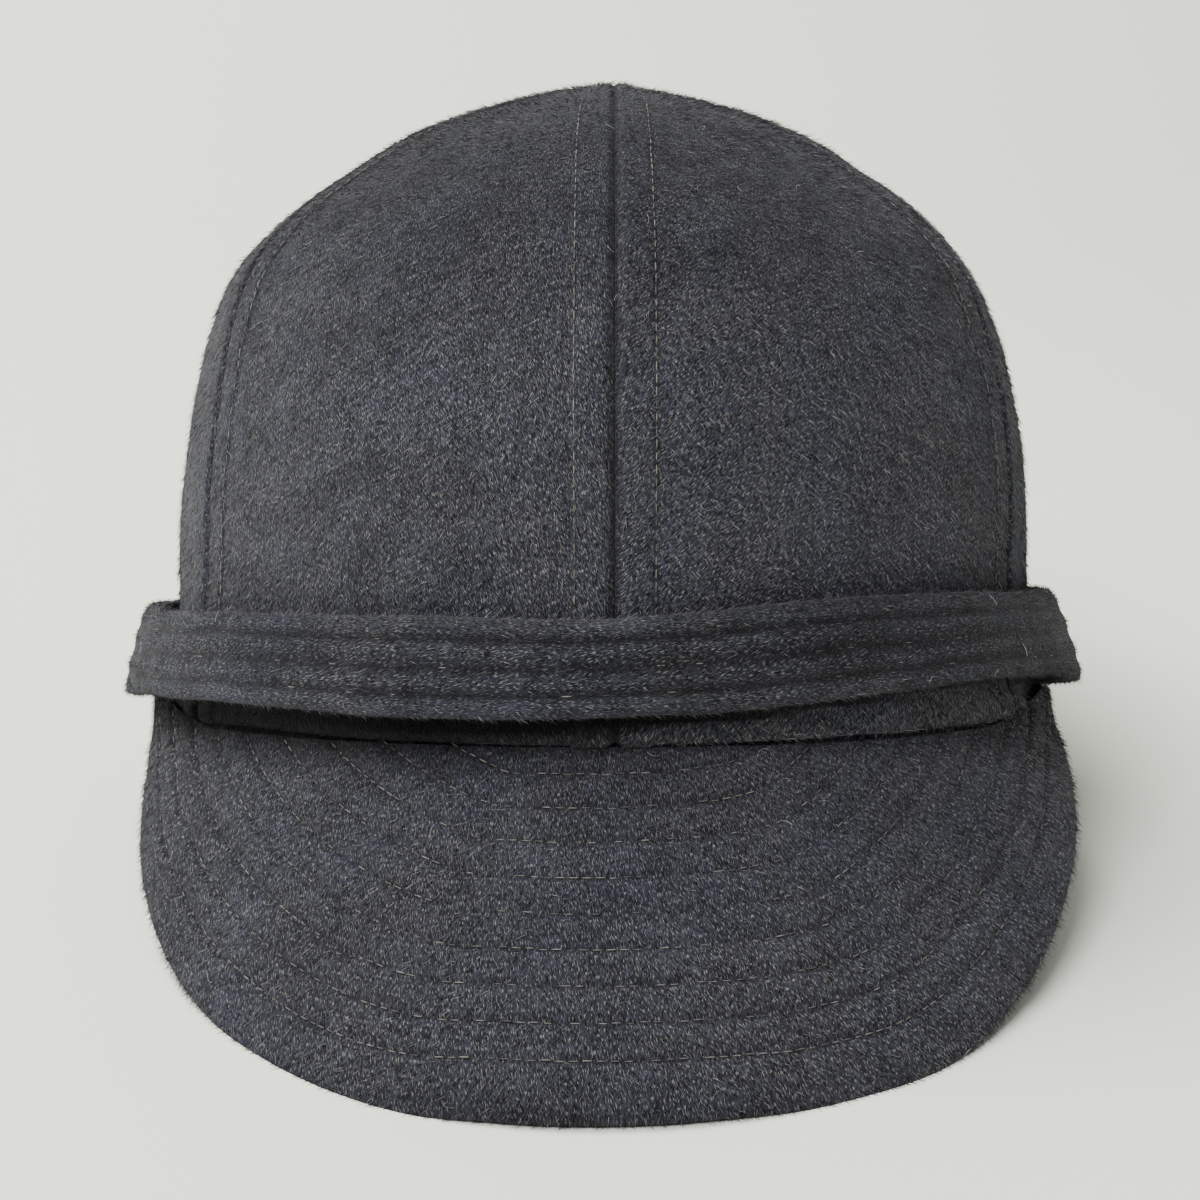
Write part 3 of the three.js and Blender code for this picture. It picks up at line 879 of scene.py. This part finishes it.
peak_rows_sewn = Stitches(13)
swings = np.linspace(-0.985, 0.985, 500)
shares = np.linspace(0.004, 1, 260)
field = peak_surface(swings[:, None], shares[None, :])
far = from_edge(field.reshape(-1, 3)).reshape(field.shape[:2])
for number in range(ROW_COUNT):
    wanted = ROW_START + ROW_STEP * number
    sewn = far.max(axis=1) > wanted
    hit = []
    for row in far[sewn]:
        inwards = row[::-1]
        edge = np.argmin(inwards)
        hit.append(np.interp(wanted, inwards[edge:], shares[::-1][edge:]))
    hit = np.array(hit)
    for side in (1, -1):
        height = np.full(sewn.sum(), 1.0 * side)
        line, _ = peak_place(swings[sewn], hit, height)
        out = -surface_normals(peak_surface, swings[sewn], np.clip(hit, 0.01, 0.99)) * side
        peak_rows_sewn.row(line, out, -0.2, 0.38)
peak_rows_sewn.sewn("peak_stitches")

# %% [markdown]
# The nap itself: 7,000 to 37,000 short tapering hairs on each piece, lying almost flat and
# leaning one way, with a few that stand up. Against the light they give the cloth its soft edge.
# Places are drawn from the piece's own triangles by area, with a fixed seed.

# %% Nap
def hair_shape(bm):
    from_root = Z_TO_X @ Matrix.Translation((0, 0, 0.5))
    bmesh.ops.create_cone(bm, segments=3, radius1=0.5, radius2=0, depth=1, cap_ends=True, matrix=from_root)


HAIR = template(hair_shape)
HAIR_LENGTH, HAIR_WIDTH = (1.0, 2.8), (0.08, 0.165)  # millimetres, shortest and longest


def nap(piece, count, seed, direction, tone, keep=None, longer=1.0, ruffled=None):
    """Hairs rooted all over a piece. keep says which upright places may carry them."""
    mesh = piece.data
    mesh.calc_loop_triangles()
    co = np.empty(len(mesh.vertices) * 3)
    mesh.vertices.foreach_get("co", co)
    co = to_upright(co.reshape(-1, 3))
    tri = np.empty(len(mesh.loop_triangles) * 3, dtype=np.int32)
    mesh.loop_triangles.foreach_get("vertices", tri)
    corners = co[tri.reshape(-1, 3)]
    cross = np.cross(corners[:, 1] - corners[:, 0], corners[:, 2] - corners[:, 0])
    area = np.linalg.norm(cross, axis=1)
    pressed = np.empty(len(mesh.vertices), dtype=np.float32)
    mesh.attributes["groove"].data.foreach_get("value", pressed)
    chance = area * (1 - 0.92 * np.clip(2.4 * pressed[tri.reshape(-1, 3)].mean(1), 0, 1))
    if keep:
        chance *= keep(corners.mean(1), cross / (area[:, None] + 1e-12))
    rng = np.random.default_rng(seed)
    pick = rng.choice(len(area), count, p=chance / chance.sum())
    a, b = rng.random((2, count, 1))
    a, b = np.where(a + b > 1, 1 - a, a), np.where(a + b > 1, 1 - b, b)
    t = corners[pick]
    root = t[:, 0] + a * (t[:, 1] - t[:, 0]) + b * (t[:, 2] - t[:, 0])
    out = cross[pick] / area[pick, None]
    swirl = np.stack([cloth_noise(root, 9, 31 + axis) for axis in range(3)], -1)
    lean = direction(root) + 0.65 * swirl + rng.normal(0, 0.25, (count, 3))
    lean -= out * (lean * out).sum(1, keepdims=True)
    lean /= np.linalg.norm(lean, axis=1, keepdims=True) + 1e-9
    stand = np.clip(rng.normal(0.29, 0.2, (count, 1)) + (rng.random((count, 1)) < 0.16) * 0.5, 0.03, 1.2)
    if ruffled:
        stand += ruffled(root)[:, None] * rng.uniform(0.1, 1.0, (count, 1))
    way = lean * np.cos(stand) + out * np.sin(stand)
    length = rng.uniform(*HAIR_LENGTH, count) * longer * np.clip(1.2 - 0.5 * stand[:, 0], 0.65, 1)
    width = rng.uniform(*HAIR_WIDTH, count)
    scale = np.stack([length, width, width], -1)
    shade = rng.beta(0.55, 2.3, count) + (rng.random(count) < 0.03) * rng.uniform(0.3, 0.6, count)
    # the hairs take the same random mottling, and painted light and shade, as their piece
    shade *= tone(root)
    shade *= 1 - 0.3 * smooth(45, 88, np.abs(root[:, 0]))
    return copies(piece.name + "_nap", HAIR, root - out * 0.12, way, out, scale, shade, hair)


def outer_only(middles, normals):
    """Few hairs are needed on the face of the band that is turned to the crown."""
    facing = (middles[:, :2] * normals[:, :2]).sum(1) / np.linalg.norm(middles[:, :2], axis=1)
    return np.where(facing < -0.5, 0.05, 1.0)


def at_the_rim(root):
    return 1 - smooth(0.8, 3.4, from_edge(root))


def upper_mostly(middles, normals):
    """Fewer hairs under the peak, and more along its rim."""
    return np.where(normals[:, 2] < 0, 0.25, 1.0) + 1.1 * at_the_rim(middles)


HAIRS = {"front": 22500, "side": 9500, "back": 7000}
for number, gore in enumerate(gores):
    place = gore.name.split("_")[1]
    nap(gore, HAIRS[place], 21 + number, nap_down, crown_mottle_and_painted_light)
nap(ear_band, 25000, 31, nap_round, band_mottle_and_painted_light, outer_only, 0.85)
nap(peak, 37000, 32, nap_down, peak_mottle_and_painted_light, upper_mostly, 1.0, at_the_rim)

# %% [markdown]
# Dark wool always carries a few loose fibres. Each one is a thin tube bent along an arc, made by
# spinning a small triangle, and they lie here and there on the nap at any angle.

# %% Lint
def lint_shape(bm):
    upright = Matrix.Rotation(math.pi / 2, 4, "X")
    made = bmesh.ops.create_circle(bm, cap_ends=True, segments=3, radius=0.045, matrix=upright)
    parts = made["verts"] + list(bm.edges) + list(bm.faces)
    bmesh.ops.spin(bm, geom=parts, cent=(2.2, 0, 0), axis=(0, 0, 1), angle=-1.5, steps=9)
    bmesh.ops.recalc_face_normals(bm, faces=bm.faces)


LINT = template(lint_shape)


def lint_on(piece, count, seed):
    """Loose fibres on the front of a piece."""
    rng = np.random.default_rng(seed)
    mesh = piece.data
    fit = [face for face in mesh.polygons if face.normal.y < -0.2 and face.normal.z > -0.2]
    chosen = rng.choice(len(fit), count)
    places = to_upright(np.array([fit[i].center[:] for i in chosen]))
    ups = np.array([fit[i].normal[:] for i in chosen]) @ np.array(STAND.to_3x3().normalized())
    ways = np.cross(ups, rng.normal(0, 1, (count, 3)))
    scale = rng.uniform([0.25, 0.25, 0.7], [0.95, 0.9, 1.1], (count, 3))
    shade = rng.uniform(0.5, 1.5, count)
    return copies(piece.name + "_lint", LINT, places + ups * 0.5, ways, ups, scale, shade, hair)


front_right, front_left = gores[0], gores[5]
for number, (piece, count) in enumerate([(front_right, 20), (front_left, 18), (ear_band, 14), (peak, 34)]):
    lint_on(piece, count, 41 + number)

# %% [markdown]
# The studio is a pale sweep of paper that runs from the table up behind the cap, under a wide soft
# light from the front and the upper left. Its shadows stay faint and broad.

# %% Floor, light and camera
def paper(name, colour):
    material, tree, shader, start = new_material(name)
    grain = start.node("ShaderNodeTexCoord", {}, out=3)
    cloud = start.node("ShaderNodeTexNoise", {"Vector": grain, "Scale": 1.4, "Detail": 2.0})
    tone = (cloud * 0.3).mix(tuple(c * 1.02 for c in colour) + (1,), tuple(c * 0.95 for c in colour) + (1,))
    tree.links.new(tone.socket, shader.inputs["Base Color"])
    shader.inputs["Roughness"].default_value = 0.85
    return material


SWEEP_LENGTH, SWEEP_FLAT, SWEEP_CURVE, SWEEP_RADIUS = 4.4, 2.2, 1.1, 0.7
bm = bmesh.new()
bmesh.ops.create_grid(bm, x_segments=2, y_segments=40, size=1)
for vert in bm.verts:
    along = (vert.co.y + 1) / 2 * SWEEP_LENGTH
    bend = min(max(along - SWEEP_FLAT, 0), SWEEP_CURVE)
    angle = bend / SWEEP_RADIUS
    back = -1.4 + min(along, SWEEP_FLAT) + SWEEP_RADIUS * math.sin(angle)
    rise = SWEEP_RADIUS * (1 - math.cos(angle)) + max(along - SWEEP_FLAT - SWEEP_CURVE, 0)
    vert.co = (vert.co.x * 3, back, rise)
for face in bm.faces:
    face.smooth = True
sweep_mesh = bpy.data.meshes.new("paper_sweep")
bm.to_mesh(sweep_mesh)
bm.free()
sweep = bpy.data.objects.new("paper_sweep", sweep_mesh)
bpy.context.collection.objects.link(sweep)
sweep_mesh.materials.append(paper("studio paper", (0.85, 0.86, 0.775)))


def soft_light(name, place, target, size, watts, colour):
    data = bpy.data.lights.new(name, "AREA")
    data.shape, data.size, data.energy, data.color = "SQUARE", size, watts, colour
    lamp = bpy.data.objects.new(name, data)
    bpy.context.collection.objects.link(lamp)
    lamp.location = place
    lamp.rotation_euler = (Vector(target) - Vector(place)).to_track_quat("-Z", "Y").to_euler()
    return lamp


soft_light("key", (-0.5, -1.02, 1.22), (0, 0, 0.06), 0.7, 33, (1.0, 0.99, 0.97))
soft_light("backdrop", (-1.05, 0.35, 1.6), (-0.6, 1.1, 0.1), 1.4, 58, (1.0, 1.0, 0.98))
world = bpy.data.worlds.new("studio")
world.use_nodes = True
world.node_tree.nodes["Background"].inputs["Color"].default_value = (0.98, 0.985, 1.0, 1)
world.node_tree.nodes["Background"].inputs["Strength"].default_value = 0.42
bpy.context.scene.world = world

camera_data = bpy.data.cameras.new("camera")
FOCAL_PIXELS, PHOTO_PIXELS, SENSOR = 2772, 1200, 36
camera_data.lens, camera_data.sensor_width = FOCAL_PIXELS / PHOTO_PIXELS * SENSOR, SENSOR
camera_data.clip_start = 0.05
camera = bpy.data.objects.new("camera", camera_data)
bpy.context.collection.objects.link(camera)
eye = STAND @ Vector((-0.3, -560, 43.6))
pitch = math.radians(2.6)
look = STAND.to_3x3() @ Vector((0, math.cos(pitch), -math.sin(pitch)))
camera.location = eye
camera.rotation_euler = look.to_track_quat("-Z", "Y").to_euler()
bpy.context.scene.camera = camera
down = math.degrees(-math.asin(look.normalized().z))
print("camera height:", round(eye.z, 3), "looking down", round(down, 1))
